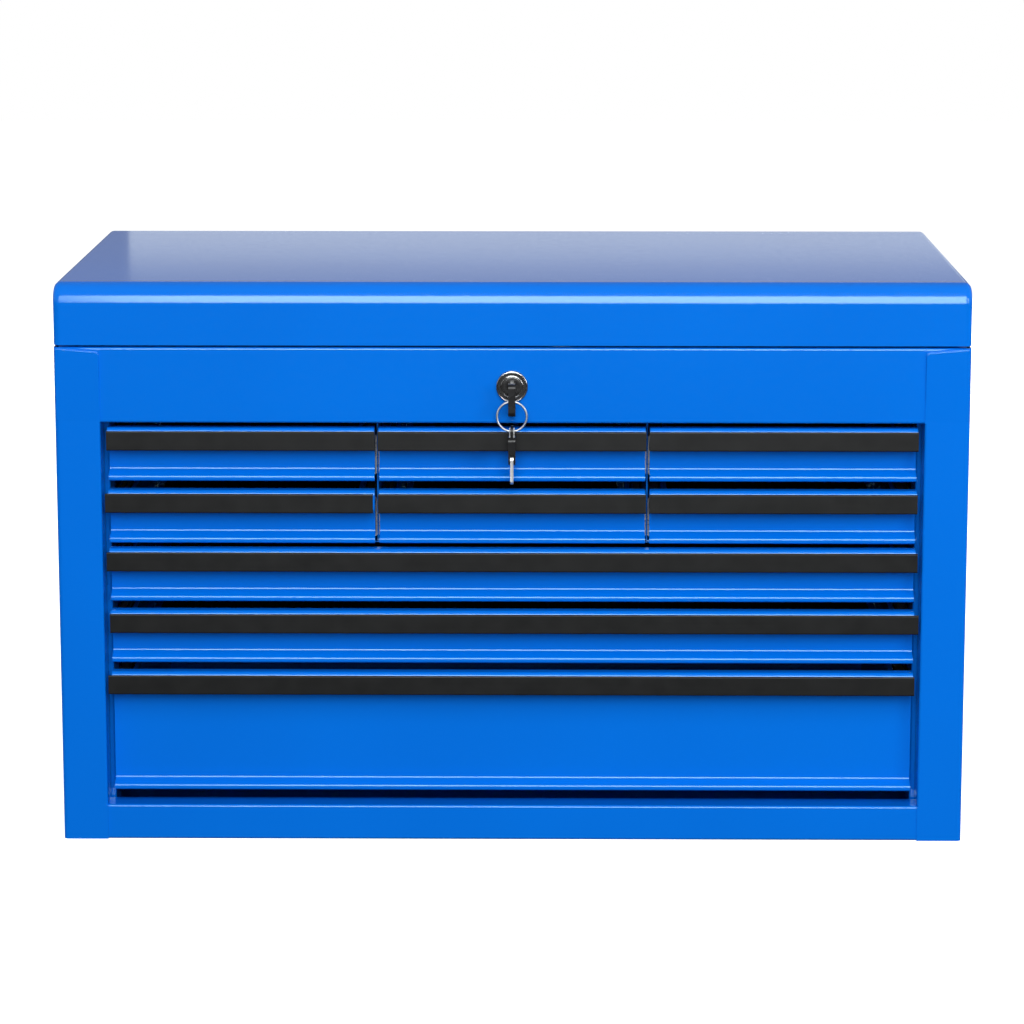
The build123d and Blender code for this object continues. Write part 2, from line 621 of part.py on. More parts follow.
for side, label in ((-1, "left"), (1, "right")):
    x = side * STRUT_X
    axis = Plane(origin=(x, LOW_Y, LOW_Z), x_dir=(1, 0, 0), z_dir=(0, HIGH_Y - LOW_Y, HIGH_Z - LOW_Z))
    tube_start = STRUT_EYE_RADIUS
    chamber_start = tube_start + STRUT_END_WALL
    with BuildPart() as cylinder:
        add(strut_eye(x, LOW_Y, LOW_Z))
        add(disc(axis, STRUT_BORE_RADIUS, chamber_start))
        add(disc(axis.offset(tube_start), STRUT_TUBE_RADIUS, chamber_start - tube_start))
        chamber = STRUT_TUBE_END - STRUT_CAP - chamber_start
        add(disc(axis.offset(chamber_start), STRUT_TUBE_RADIUS, chamber, STRUT_BORE_RADIUS))
        cap_bore = STRUT_ROD_RADIUS + STRUT_ROD_FIT
        add(disc(axis.offset(STRUT_TUBE_END - STRUT_CAP), STRUT_TUBE_RADIUS, STRUT_CAP, cap_bore))
        add(strut_eye_bore(x, LOW_Y, LOW_Z), mode=Mode.SUBTRACT)
    save(cylinder, f"strut_cylinder_{label}")
    rod_start = chamber_start + STRUT_PISTON_GAP
    with BuildPart() as rod:
        add(disc(axis.offset(rod_start), STRUT_ROD_RADIUS, STRUT_LENGTH - rod_start))
        add(disc(axis.offset(rod_start), STRUT_BORE_RADIUS - STRUT_PISTON_GAP, STRUT_PISTON))
        add(strut_eye(x, HIGH_Y, HIGH_Z))
        add(strut_eye_bore(x, HIGH_Y, HIGH_Z), mode=Mode.SUBTRACT)
    save(rod, f"strut_rod_{label}")

for label, y, z in (("strut_studs_body", LOW_Y, LOW_Z), ("strut_studs_lid", HIGH_Y, HIGH_Z)):
    with BuildPart() as studs:
        add(stud(-1, y, z))
        add(stud(1, y, z))
    save(studs, label)

# --- Lock: housing through the rail, nut behind it, plug, and the cam that turns over the lid's catch ---
with BuildPart() as lock_housing:
    add(disc(towards_back(0, LOCK_FRONT_Y, LOCK_Z), LOCK_FLANGE_RADIUS, LOCK_FLANGE))
    rim_edge = lock_housing.edges().group_by(Axis.Y)[0]
    fillet(rim_edge, LOCK_FLANGE_ROUND)
    add(disc(towards_back(0, RAIL_Y, LOCK_Z), LOCK_BARREL_RADIUS, LOCK_BARREL - TOUCH))
    whole = LOCK_FLANGE + LOCK_BARREL
    add(disc(towards_back(0, LOCK_FRONT_Y, LOCK_Z), PLUG_RADIUS + PLUG_FIT, whole), mode=Mode.SUBTRACT)
    recess = disc(towards_back(0, LOCK_FRONT_Y, LOCK_Z), PLUG_FACE_RADIUS + PLUG_FACE_GAP, PLUG_FACE + TOUCH)
    add(recess, mode=Mode.SUBTRACT)
save(lock_housing, "lock_housing")

with BuildPart() as lock_nut:
    with BuildSketch(towards_back(0, RAIL_Y + SHEET, LOCK_Z)):
        RegularPolygon(NUT_RADIUS, 6)
        Circle(LOCK_BARREL_RADIUS + LOCK_HOLE_GAP, mode=Mode.SUBTRACT)
    extrude(amount=NUT)
save(lock_nut, "lock_nut")

with BuildPart() as lock_plug:
    add(disc(towards_back(0, LOCK_FRONT_Y, LOCK_Z), PLUG_FACE_RADIUS, PLUG_FACE))
    add(disc(towards_back(0, LOCK_FRONT_Y, LOCK_Z), PLUG_RADIUS, LOCK_BACK_Y - LOCK_FRONT_Y))
    add(disc(towards_back(0, LOCK_BACK_Y, LOCK_Z), TAIL_RADIUS, TAIL))
    half_slot = KEY_SHEET / 2 + KEY_FIT
    half_tall = KEY_BLADE_WIDTH / 2 + KEY_FIT
    slot_y = (LOCK_FRONT_Y, LOCK_FRONT_Y + KEY_DEPTH + KEY_SLOT_GAP)
    slab((-half_slot, half_slot), slot_y, (LOCK_Z - half_tall, LOCK_Z + half_tall), Mode.SUBTRACT)
save(lock_plug, "lock_plug")

with BuildPart() as lock_cam:
    with BuildSketch(towards_back(0, LOCK_BACK_Y, LOCK_Z)):
        Circle(CAM_HALF_WIDTH + SHEET)
        with Locations((0, -CAM_REACH / 2)):
            RectangleRounded(2 * CAM_HALF_WIDTH, CAM_REACH, CAM_HALF_WIDTH / 2)
        Circle(TAIL_RADIUS + KEY_FIT, mode=Mode.SUBTRACT)
    extrude(amount=CAM)
save(lock_cam, "lock_cam")

# The catch hangs from the lid's skirt behind the lock rail. Its lip is beside the cam while the lock is
# open, and just below the cam once the plug has turned.
with BuildPart() as lid_catch:
    strap_x = (CAM_REACH + CATCH_SIDE_GAP, CAM_REACH + CATCH_SIDE_GAP + CATCH_WIDTH)
    strap_y = (LOCK_BACK_Y + (CAM - CATCH) / 2, LOCK_BACK_Y + (CAM + CATCH) / 2)
    lip_top = LOCK_Z - CAM_HALF_WIDTH - SHEET - CATCH_GAP
    shelf_z = LID_BOTTOM + CATCH_SHELF_HEIGHT
    skirt_y = FRONT_Y + SHEET
    slab(strap_x, strap_y, (lip_top - CATCH_LIP, shelf_z + CATCH))
    slab((CAM_REACH / 2, strap_x[1]), strap_y, (lip_top - CATCH_LIP, lip_top))
    slab(strap_x, (skirt_y, strap_y[1]), (shelf_z, shelf_z + CATCH))
    slab(strap_x, (skirt_y, skirt_y + CATCH), (shelf_z, shelf_z + CATCH_TAB))
save(lid_catch, "lid_catch")


# --- Keys: each is a steel blade hinged in a moulded head, so that the head can hang flat ---------------
def key_pin(y, z, radius):
    """The cross pin of a folding key, or the bore for it, across the head's thickness."""
    return disc(across(-KEY_HEAD / 2, y, z), radius, KEY_HEAD)


with BuildPart() as key_blade:
    blade_half = KEY_BLADE_WIDTH / 2
    blade_y = (KEY_PIVOT_Y, LOCK_FRONT_Y + KEY_DEPTH)
    neck_half = KEY_TANG_RADIUS
    slab((-KEY_SHEET / 2, KEY_SHEET / 2), blade_y, (LOCK_Z - neck_half, LOCK_Z + neck_half))
    inner_y = (LOCK_FRONT_Y + TOUCH, LOCK_FRONT_Y + KEY_DEPTH)
    slab((-KEY_SHEET / 2, KEY_SHEET / 2), inner_y, (LOCK_Z - blade_half, LOCK_Z + blade_half))
    add(disc(across(-KEY_SHEET / 2, KEY_PIVOT_Y, LOCK_Z), KEY_TANG_RADIUS, KEY_SHEET))
    add(key_pin(KEY_PIVOT_Y, LOCK_Z, KEY_PIN_RADIUS + KEY_FIT), mode=Mode.SUBTRACT)
save(key_blade, "key_blade")

with BuildPart() as key_head:
    head_y = (KEY_PIVOT_Y - KEY_HEAD_FRONT, KEY_PIVOT_Y + KEY_HEAD_BEHIND)
    head_z = (LOCK_Z + KEY_HEAD_TOP - KEY_HEAD_LENGTH, LOCK_Z + KEY_HEAD_TOP)
    slab((-KEY_HEAD / 2, KEY_HEAD / 2), head_y, head_z)
    fillet(key_head.edges().filter_by(Axis.X), KEY_HEAD_ROUND)
    swing = disc(
        across(-KEY_SHEET / 2 - KEY_SLOT_GAP, KEY_PIVOT_Y, LOCK_Z),
        KEY_TANG_RADIUS + KEY_SLOT_GAP,
        KEY_SHEET + 2 * KEY_SLOT_GAP,
    )
    add(swing, mode=Mode.SUBTRACT)
    slot_half = KEY_SHEET / 2 + KEY_SLOT_GAP
    slot_low = LOCK_Z - KEY_TANG_RADIUS - KEY_SLOT_GAP
    slot_front = KEY_PIVOT_Y - KEY_TANG_RADIUS - KEY_SLOT_GAP
    slab((-slot_half, slot_half), (KEY_PIVOT_Y, head_y[1]), (slot_low, head_z[1]), Mode.SUBTRACT)
    slab((-slot_half, slot_half), (slot_front, head_y[1]), (LOCK_Z, head_z[1]), Mode.SUBTRACT)
    add(key_pin(KEY_PIVOT_Y, LOCK_Z, KEY_PIN_RADIUS))
    add(key_pin(RING_Y, RING_TOP_Z, KEY_HOLE_RADIUS), mode=Mode.SUBTRACT)
save(key_head, "key_head")

with BuildPart() as key_ring:
    with Locations(Plane(origin=(0, RING_Y, RING_TOP_Z - RING_RADIUS), z_dir=(0, 1, 0))):
        Torus(RING_RADIUS, RING_WIRE)
save(key_ring, "key_ring")

with BuildPart() as spare_key_head:
    half_wide = SPARE_HEAD_WIDTH / 2
    spare_z = (SPARE_HEAD_Z - SPARE_HEAD_LENGTH, SPARE_HEAD_Z)
    slab((-KEY_HEAD / 2, KEY_HEAD / 2), (RING_Y - half_wide, RING_Y + half_wide), spare_z)
    fillet(spare_key_head.edges().filter_by(Axis.X), KEY_HEAD_ROUND)
    eye_sheet = (-SPARE_EYE_SHEET / 2, SPARE_EYE_SHEET / 2)
    slab(eye_sheet, (RING_Y - SPARE_EYE_RADIUS, RING_Y + SPARE_EYE_RADIUS), (SPARE_HEAD_Z - TOUCH, RING_LOW_Z))
    add(disc(across(eye_sheet[0], RING_Y, RING_LOW_Z), SPARE_EYE_RADIUS, SPARE_EYE_SHEET))
    add(key_pin(RING_Y, RING_LOW_Z, KEY_HOLE_RADIUS), mode=Mode.SUBTRACT)
    swing = disc(
        across(-slot_half, RING_Y, SPARE_PIVOT_Z), SPARE_BLADE_WIDTH / 2 + KEY_SLOT_GAP, 2 * slot_half
    )
    add(swing, mode=Mode.SUBTRACT)
    swing_y = (RING_Y - half_wide, RING_Y + SPARE_BLADE_WIDTH / 2 + KEY_SLOT_GAP)
    slab((-slot_half, slot_half), swing_y, (spare_z[0], SPARE_PIVOT_Z), Mode.SUBTRACT)
    upper_y = (RING_Y - half_wide, RING_Y)
    upper_z = (SPARE_PIVOT_Z, SPARE_PIVOT_Z + SPARE_BLADE_WIDTH / 2 + KEY_SLOT_GAP)
    slab((-slot_half, slot_half), upper_y, upper_z, Mode.SUBTRACT)
    add(key_pin(RING_Y, SPARE_PIVOT_Z, KEY_PIN_RADIUS))
save(spare_key_head, "spare_key_head")

with BuildPart() as spare_key_blade:
    tip_z = SPARE_PIVOT_Z - KEY_TANG_RADIUS - SPARE_BLADE_LENGTH
    half_blade = SPARE_BLADE_WIDTH / 2
    slab((-KEY_SHEET / 2, KEY_SHEET / 2), (RING_Y - half_blade, RING_Y + half_blade), (tip_z, SPARE_PIVOT_Z))
    tip = spare_key_blade.edges().filter_by(Axis.X).group_by(Axis.Z)[0]
    chamfer(tip, half_blade / 2)
    add(disc(across(-KEY_SHEET / 2, RING_Y, SPARE_PIVOT_Z), half_blade, KEY_SHEET))
    add(key_pin(RING_Y, SPARE_PIVOT_Z, KEY_PIN_RADIUS + KEY_FIT), mode=Mode.SUBTRACT)
save(spare_key_blade, "spare_key_blade")

# --- Carrying handles on the sides: a bail of bent rod, hinged in a bracket with two ears ----------------
PIVOT_X = SIDE_X + HANDLE_OUT
STUB_BEND = HANDLE_ROD_RADIUS + HANDLE_BEND_INSIDE
EAR_Y = HANDLE_HALF_WIDTH + HANDLE_ROD_RADIUS + BRACKET_MARGIN / 2
with BuildPart() as handle_brackets:
    for side in (-1, 1):
        plate_z = (HANDLE_HEIGHT - BRACKET_BELOW, HANDLE_HEIGHT + BRACKET_EAR_HALF)
        plate_y = EAR_Y + BRACKET_EAR
        slab((side * SIDE_X, side * (SIDE_X + BRACKET)), (-plate_y, plate_y), plate_z)
        for end in (-1, 1):
            ear_y = (end * EAR_Y, end * (EAR_Y + BRACKET_EAR))
            ear_z = (HANDLE_HEIGHT - BRACKET_EAR_HALF, HANDLE_HEIGHT + BRACKET_EAR_HALF)
            slab((side * SIDE_X, side * (PIVOT_X + BRACKET_EAR_HALF)), ear_y, ear_z)
        bore_plane = towards_back(side * PIVOT_X, -plate_y, HANDLE_HEIGHT)
        add(disc(bore_plane, HANDLE_ROD_RADIUS + HANDLE_FIT, 2 * plate_y), mode=Mode.SUBTRACT)
save(handle_brackets, "handle_brackets")

for side, label in ((-1, "left"), (1, "right")):
    x = side * PIVOT_X
    stub_y = HANDLE_HALF_WIDTH + HANDLE_STUB
    bar_z = HANDLE_HEIGHT - HANDLE_ARM
    with BuildPart() as bail:
        with BuildLine() as route:
            FilletPolyline(
                (x, -stub_y, HANDLE_HEIGHT),
                (x, -HANDLE_HALF_WIDTH, HANDLE_HEIGHT),
                (x, -HANDLE_HALF_WIDTH, bar_z),
                (x, HANDLE_HALF_WIDTH, bar_z),
                (x, HANDLE_HALF_WIDTH, HANDLE_HEIGHT),
                (x, stub_y, HANDLE_HEIGHT),
                radius=[STUB_BEND, HANDLE_BEND, HANDLE_BEND, STUB_BEND],
            )
        with BuildSketch(Plane(origin=route.line @ 0, z_dir=route.line % 0)):
            Circle(HANDLE_ROD_RADIUS)
        sweep()
    save(bail, f"side_handle_{label}")
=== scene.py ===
import json
import logging
import math
from collections.abc import Callable
from dataclasses import dataclass
from enum import Enum

import bpy
from mathutils import Euler, Matrix, Vector

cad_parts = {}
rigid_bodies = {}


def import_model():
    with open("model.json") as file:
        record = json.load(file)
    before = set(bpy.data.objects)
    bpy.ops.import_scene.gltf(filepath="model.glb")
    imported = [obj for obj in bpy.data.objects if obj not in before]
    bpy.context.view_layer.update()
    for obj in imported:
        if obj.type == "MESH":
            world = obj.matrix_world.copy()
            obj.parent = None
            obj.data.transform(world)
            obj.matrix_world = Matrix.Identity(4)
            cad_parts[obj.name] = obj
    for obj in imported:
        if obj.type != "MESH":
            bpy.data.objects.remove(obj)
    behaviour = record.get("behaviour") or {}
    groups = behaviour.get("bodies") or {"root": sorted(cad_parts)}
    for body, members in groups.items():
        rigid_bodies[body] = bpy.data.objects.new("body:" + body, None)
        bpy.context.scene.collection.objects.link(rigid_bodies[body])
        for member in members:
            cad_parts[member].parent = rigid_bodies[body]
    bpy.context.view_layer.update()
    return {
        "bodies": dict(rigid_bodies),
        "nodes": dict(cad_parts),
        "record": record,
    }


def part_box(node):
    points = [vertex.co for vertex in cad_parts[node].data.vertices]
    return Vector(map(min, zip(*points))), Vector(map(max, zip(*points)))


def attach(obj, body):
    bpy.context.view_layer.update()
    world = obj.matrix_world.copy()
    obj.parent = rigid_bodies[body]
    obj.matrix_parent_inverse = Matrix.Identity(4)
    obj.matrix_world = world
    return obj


LOG = logging.getLogger("tool_chest")
MM = 0.001

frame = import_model()

Point = tuple[float, float, float]
Colour = tuple[float, float, float, float]
Pair = tuple[float, float]
Pattern = tuple[float, float]  # features per metre, octaves

PATTERN_SPAN: Pair = (0.3, 0.7)
SMOOTH_ANGLE = math.radians(35)

FACES_DOWN = -0.5  # the z of a normal, below which a face looks down

MAT_SHEET = 0.45  # a ribbed mat's sheet, as a share of the mat's height
MAT_ROUND = 0.3  # the rounding of its edges, as a share of the sheet
RIB_HALF = 0.22  # its ribs' half width, as a share of their pitch
RIB_SINK = 0.2  # how deep they stand in the sheet, as a share of their half width
RIB_ROUND = 0.5  # the rounding of their edges, as a share of their half width

# A rivet's dome: its height and radius at each step, as shares of the whole.
RIVET_DOME = ((0.0, 1.0), (0.25, 0.98), (0.55, 0.86), (0.8, 0.62), (0.95, 0.32), (1.0, 0.12))
RIVET_SIDES = 20


class Slot(Enum):
    """The record's material slots."""

    BLUE = "blue_powder_coat"
    PULL = "black_pull"
    ZINC = "zinc_steel"
    CHROME = "chrome_plate"
    ENAMEL = "black_enamel"
    PLASTIC = "black_plastic"
    KEY = "key_steel"


class Axis(Enum):
    """The direction that a turned piece is built along."""

    X = Vector((1, 0, 0))
    Y = Vector((0, 1, 0))
    FRONT = Vector((0, -1, 0))


# --- Materials ------------------------------------------------------------------------------------
class Shader:
    """A node material under construction, with one Principled shader on its output."""

    def __init__(self, name: str) -> None:
        """Starts an empty node tree.

        Args:
            name: The material's name.
        """
        self.material = bpy.data.materials.new(name)
        self.material.use_nodes = True
        self.tree = self.material.node_tree
        self.tree.nodes.clear()
        self.surface = self.tree.nodes.new("ShaderNodeBsdfPrincipled")
        output = self.tree.nodes.new("ShaderNodeOutputMaterial")
        self.tree.links.new(self.surface.outputs["BSDF"], output.inputs["Surface"])
        self.place = self.tree.nodes.new("ShaderNodeTexCoord").outputs["Object"]

    def set(self, **values: float | Colour) -> None:
        """Sets constant values on the Principled shader.

        Args:
            values: Socket names with underscores for spaces, and their values.
        """
        for key, value in values.items():
            self.surface.inputs[key.replace("_", " ")].default_value = value

    def stretched(self, scale: Point) -> bpy.types.NodeSocket:
        """Object coordinates scaled by axis.

        Args:
            scale: The factor on each axis.

        Returns:
            The stretched coordinates.
        """
        mapping = self.tree.nodes.new("ShaderNodeMapping")
        mapping.inputs["Scale"].default_value = scale
        self.tree.links.new(self.place, mapping.inputs["Vector"])
        return mapping.outputs["Vector"]

    def noise(self, pattern: Pattern,
              at: bpy.types.NodeSocket | None = None) -> bpy.types.NodeSocket:
        """A noise pattern's value.

        Args:
            pattern: Its features per metre and its octaves.
            at: Coordinates, or None for plain object coordinates.

        Returns:
            The noise value, from 0 to 1.
        """
        node = self.tree.nodes.new("ShaderNodeTexNoise")
        node.inputs["Scale"].default_value, node.inputs["Detail"].default_value = pattern
        self.tree.links.new(at or self.place, node.inputs["Vector"])
        return node.outputs["Fac"]

    def ranged(self, value: bpy.types.NodeSocket, low: float, high: float) -> bpy.types.NodeSocket:
        """Maps a pattern's middle range onto two values.

        Args:
            value: The pattern.
            low: The result where the pattern is at or below PATTERN_SPAN.
            high: The result where it is at or above it.

        Returns:
            The mapped value.
        """
        node = self.tree.nodes.new("ShaderNodeMapRange")
        limits = {
            "From Min": PATTERN_SPAN[0], "From Max": PATTERN_SPAN[1], "To Min": low, "To Max": high
        }
        for key, limit in limits.items():
            node.inputs[key].default_value = limit
        self.tree.links.new(value, node.inputs["Value"])
        return node.outputs["Result"]

    def tint(self, value: bpy.types.NodeSocket, first: Colour, second: Colour) -> None:
        """Colours the surface between two tints by a pattern.

        Args:
            value: The pattern.
            first: The colour where it is low.
            second: The colour where it is high.
        """
        node = self.tree.nodes.new("ShaderNodeValToRGB")
        elements = node.color_ramp.elements
        for element, position, colour in zip(elements, PATTERN_SPAN, (first, second)):
            element.position = position
            element.color = colour
        self.tree.links.new(value, node.inputs["Fac"])
        self.tree.links.new(node.outputs["Color"], self.surface.inputs["Base Color"])

    def rough(self, value: bpy.types.NodeSocket, low: float, high: float) -> None:
        """Varies the roughness between two values by a pattern."""
        self.tree.links.new(self.ranged(value, low, high), self.surface.inputs["Roughness"])

    def bump(self, value: bpy.types.NodeSocket, height: float, strength: float) -> None:
        """Raises the surface by a pattern.

        Args:
            value: The pattern, from 0 to 1.
            height: The relief's height in metres.
            strength: How strongly the relief shades.
        """
        node = self.tree.nodes.new("ShaderNodeBump")
        node.inputs["Distance"].default_value = height
        node.inputs["Strength"].default_value = strength
        last = self.surface.inputs["Normal"]
        if last.is_linked:
            self.tree.links.new(last.links[0].from_socket, node.inputs["Normal"])
        self.tree.links.new(value, node.inputs["Height"])
        self.tree.links.new(node.outputs["Normal"], last)


@dataclass(frozen=True)
class PowderCoat:
    """Baked powder paint: a slight orange peel, and a gloss that clouds a little."""

    name: str
    colour: Colour
    cloud: Colour
    roughness: Pair = (0.11, 0.15)
    clouds: Pattern = (6.0, 2.0)
    gloss: Pattern = (260.0, 3.0)
    peel: Pattern = (520.0, 2.0)
    peel_height: float = 0.01 * MM
    peel_strength: float = 0.3
    index: float = 1.67
    sheen: Colour = (0.70, 1.0, 0.98, 1.0)

    def material(self) -> bpy.types.Material:
        """Builds the node material."""
        paint = Shader(self.name)
        paint.set(Metallic=0.0, IOR=self.index, Specular_Tint=self.sheen)
        paint.tint(paint.noise(self.clouds), self.colour, self.cloud)
        paint.rough(paint.noise(self.gloss), *self.roughness)
        paint.bump(paint.noise(self.peel), self.peel_height, self.peel_strength)
        return paint.material


@dataclass(frozen=True)
class MouldedPlastic:
    """Black moulded plastic with a fine grain and the odd paler scuff."""

    name: str
    colour: Colour
    scuff: Colour
    roughness: Pair
    grain: Point = (1600.0, 1600.0, 1600.0)
    grain_octaves: float = 3.0
    grain_height: float = 0.04 * MM
    grain_strength: float = 0.4
    scuffs: Pattern = (35.0, 5.0)
    polish: Pattern = (90.0, 4.0)
    specular: float = 0.36

    def material(self) -> bpy.types.Material:
        """Builds the node material."""
        plastic = Shader(self.name)
        plastic.set(Metallic=0.0, Specular_IOR_Level=self.specular)
        plastic.tint(plastic.noise(self.scuffs), self.colour, self.scuff)
        plastic.rough(plastic.noise(self.polish), *self.roughness)
        relief = plastic.noise((1.0, self.grain_octaves), plastic.stretched(self.grain))
        plastic.bump(relief, self.grain_height, self.grain_strength)
        return plastic.material


@dataclass(frozen=True)
class PlatedSteel:
    """Plated steel, drawn or rolled along one axis so that its fine lines run that way."""

    name: str
    colour: Colour
    bloom: Colour
    roughness: Pair
    lines: Point = (900.0, 12.0, 900.0)
    line_octaves: float = 3.0
    line_height: float = 0.01 * MM
    line_strength: float = 0.3
    blooms: Pattern = (25.0, 6.0)

    def material(self) -> bpy.types.Material:
        """Builds the node material."""
        plate = Shader(self.name)
        plate.set(Metallic=1.0)
        plate.tint(plate.noise(self.blooms), self.colour, self.bloom)
        drawn = plate.noise((1.0, self.line_octaves), plate.stretched(self.lines))
        plate.rough(drawn, *self.roughness)
        plate.bump(drawn, self.line_height, self.line_strength)
        return plate.material


@dataclass(frozen=True)
class RubberMat:
    """Soft black rubber with a dusty, pebbled surface."""

    name: str = "liner_rubber"
    colour: Colour = (0.012, 0.012, 0.013, 1.0)
    dust: Colour = (0.030, 0.030, 0.031, 1.0)
    roughness: Pair = (0.75, 0.92)
    specular: float = 0.3
    dusting: Pattern = (60.0, 5.0)
    wear: Pattern = (140.0, 3.0)
    pebbles: Pattern = (1100.0, 2.0)
    pebble_height: float = 0.12 * MM
    pebble_strength: float = 0.5

    def material(self) -> bpy.types.Material:
        """Builds the node material."""
        rubber = Shader(self.name)
        rubber.set(Metallic=0.0, Specular_IOR_Level=self.specular)
        rubber.tint(rubber.noise(self.dusting), self.colour, self.dust)
        rubber.rough(rubber.noise(self.wear), *self.roughness)
        rubber.bump(rubber.noise(self.pebbles), self.pebble_height, self.pebble_strength)
        return rubber.material


@dataclass(frozen=True)
class StudioFloor:
    """A pale matt floor with the faintest mottle."""

    name: str = "studio_floor"
    colour: Colour = (0.90, 0.90, 0.90, 1.0)
    mottle: Colour = (0.93, 0.93, 0.93, 1.0)
    glow: Colour = (1.0, 1.0, 1.0, 1.0)
    glow_strength: float = 0.84
    roughness: Pair = (0.9, 0.98)
    mottling: Pattern = (2.0, 2.0)
    rubbing: Pattern = (5.0, 2.0)

    def material(self) -> bpy.types.Material:
        """Builds the node material."""
        paint = Shader(self.name)
        paint.set(Emission_Color=self.glow, Emission_Strength=self.glow_strength)
        paint.tint(paint.noise(self.mottling), self.colour, self.mottle)
        paint.rough(paint.noise(self.rubbing), *self.roughness)
        return paint.material


class Finishes:
    """Every finish on the chest, built once and shared."""

    def __init__(self) -> None:
        """Builds the materials."""
        self.by_slot: dict[Slot, bpy.types.Material] = {
            Slot.BLUE: PowderCoat(
                "blue_powder_coat", (0.0, 0.163, 0.75, 1.0), (0.0, 0.174, 0.79, 1.0)
            ).material(),
            Slot.PULL: MouldedPlastic(
                "black_pull", (0.0065, 0.0068, 0.007, 1.0), (0.0095, 0.0096, 0.01, 1.0),
                (0.34, 0.42), grain=(6.0, 900.0, 900.0)
            ).material(),
            Slot.ZINC: PlatedSteel(
                "zinc_plate", (0.56, 0.57, 0.59, 1.0), (0.66, 0.66, 0.65, 1.0), (0.24, 0.42)
            ).material(),
            Slot.CHROME: PlatedSteel(
                "chrome_plate", (0.78, 0.78, 0.79, 1.0), (0.84, 0.84, 0.84, 1.0), (0.06, 0.13),
                lines=(60.0, 60.0, 60.0)
            ).material(),
            Slot.ENAMEL: PowderCoat(
                "black_enamel", (0.010, 0.010, 0.011, 1.0), (0.014, 0.014, 0.015, 1.0),
                (0.22, 0.30), sheen=(1.0, 1.0, 1.0, 1.0)
            ).material(),
            Slot.PLASTIC: MouldedPlastic(
                "key_plastic", (0.009, 0.009, 0.010, 1.0), (0.016, 0.016, 0.017, 1.0), (0.22, 0.34)
            ).material(),
            Slot.KEY: PlatedSteel(
                "key_nickel", (0.80, 0.81, 0.83, 1.0), (0.88, 0.88, 0.89, 1.0), (0.30, 0.44),
                lines=(700.0, 700.0, 20.0)
            ).material(),
        }
        self.rubber = RubberMat().material()
        self.floor = StudioFloor().material()

    def dress_frame(self) -> None:
        """Gives every CAD node the finish of its own slot."""
        for entry in frame["record"]["subparts"]:
            node = frame["nodes"][entry["node"]]
            node.data.materials.clear()
            node.data.materials.append(self.by_slot[Slot(entry["material_slot"])])


# --- Modelling ------------------------------------------------------------------------------------
def deselect() -> None:
    """Leaves nothing selected, in object mode."""
    if bpy.context.object and bpy.context.object.mode != "OBJECT":
        bpy.ops.object.mode_set(mode="OBJECT")
    bpy.ops.object.select_all(action="DESELECT")


def settle(name: str, material: bpy.types.Material) -> bpy.types.Object:
    """Ends the modelling of the active piece: its place goes into its mesh and it gets its finish.

    Args:
        name: The piece's name.
        material: Its finish.

    Returns:
        The piece.
    """
    piece = bpy.context.object
    if piece.mode != "OBJECT":
        bpy.ops.object.mode_set(mode="OBJECT")
    bpy.ops.object.transform_apply(location=True, rotation=True, scale=True)
    piece.name = piece.data.name = name
    piece.data.materials.clear()
    piece.data.materials.append(material)
    bpy.ops.object.shade_smooth_by_angle(angle=SMOOTH_ANGLE)
    return piece


def bevel(piece: bpy.types.Object, width: float, segments: int = 2) -> None:
    """Rounds a piece's sharp edges with an applied Bevel modifier.

    Args:
        piece: The piece, which has to be the active object.
        width: The rounding's width in metres.
        segments: Its number of steps.
    """
    modifier = piece.modifiers.new("round", "BEVEL")
    modifier.width = width
    modifier.segments = segments
    modifier.limit_method = "ANGLE"
    bpy.ops.object.modifier_apply(modifier=modifier.name)


def turned(name: str, base: Point, axis: Axis, stations: list[tuple[float, float]], sides: int,
           material: bpy.types.Material) -> bpy.types.Object:
    """A turned piece: a disc that is extruded and resized from station to station along an axis.

    Args:
        name: The piece's name.
        base: The middle of its first face, in metres.
        axis: The direction that it is built along.
        stations: Distance from the base, which starts at 0, and radius at each step, in metres.
        sides: Its number of sides.
        material: Its finish.

    Returns:
        The piece.
    """
    deselect()
    turn = Vector((0, 0, 1)).rotation_difference(axis.value).to_euler()
    bpy.ops.mesh.primitive_circle_add(
        vertices=sides, radius=stations[0][1], fill_type="NGON", location=base, rotation=turn
    )
    bpy.ops.object.mode_set(mode="EDIT")
    for (start, radius), (end, next_radius) in zip(stations, stations[1:]):
        move = {"value": axis.value * (end - start)}
        bpy.ops.mesh.extrude_region_move(TRANSFORM_OT_translate=move)
        ratio = next_radius / radius
        middle = Vector(base) + axis.value * end
        bpy.ops.transform.resize(value=(ratio, ratio, ratio), center_override=middle)
    bpy.ops.mesh.select_all(action="SELECT")
    bpy.ops.mesh.normals_make_consistent(inside=False)
    return settle(name, material)


def block(name: str, low: Point, high: Point, rounding: float,
          material: bpy.types.Material) -> bpy.types.Object:
    """A block between two corners with its edges rounded.

    Args:
        name: The piece's name.
        low: The lowest corner in metres.
        high: The highest corner in metres.
        rounding: The width of its rounded edges in metres.
        material: Its finish.

    Returns:
        The piece.
    """
    deselect()
    middle = (Vector(low) + Vector(high)) / 2
    bpy.ops.mesh.primitive_cube_add(size=1, location=middle, scale=Vector(high) - Vector(low))
    bpy.ops.object.transform_apply(location=True, rotation=True, scale=True)
    bevel(bpy.context.object, rounding)
    return settle(name, material)


def copied(piece: bpy.types.Object, offsets: list[Vector]) -> list[bpy.types.Object]:
    """Copies a piece, each copy with its own mesh moved to its place.

    Args:
        piece: The piece to copy.
        offsets: How far each copy is from it.

    Returns:
        The copies.
    """
    copies = []
    for offset in offsets:
        copy = piece.copy()
        copy.data = piece.data.copy()
        copy.data.transform(Matrix.Translation(offset))
        bpy.context.scene.collection.objects.link(copy)
        copies.append(copy)
    return copies


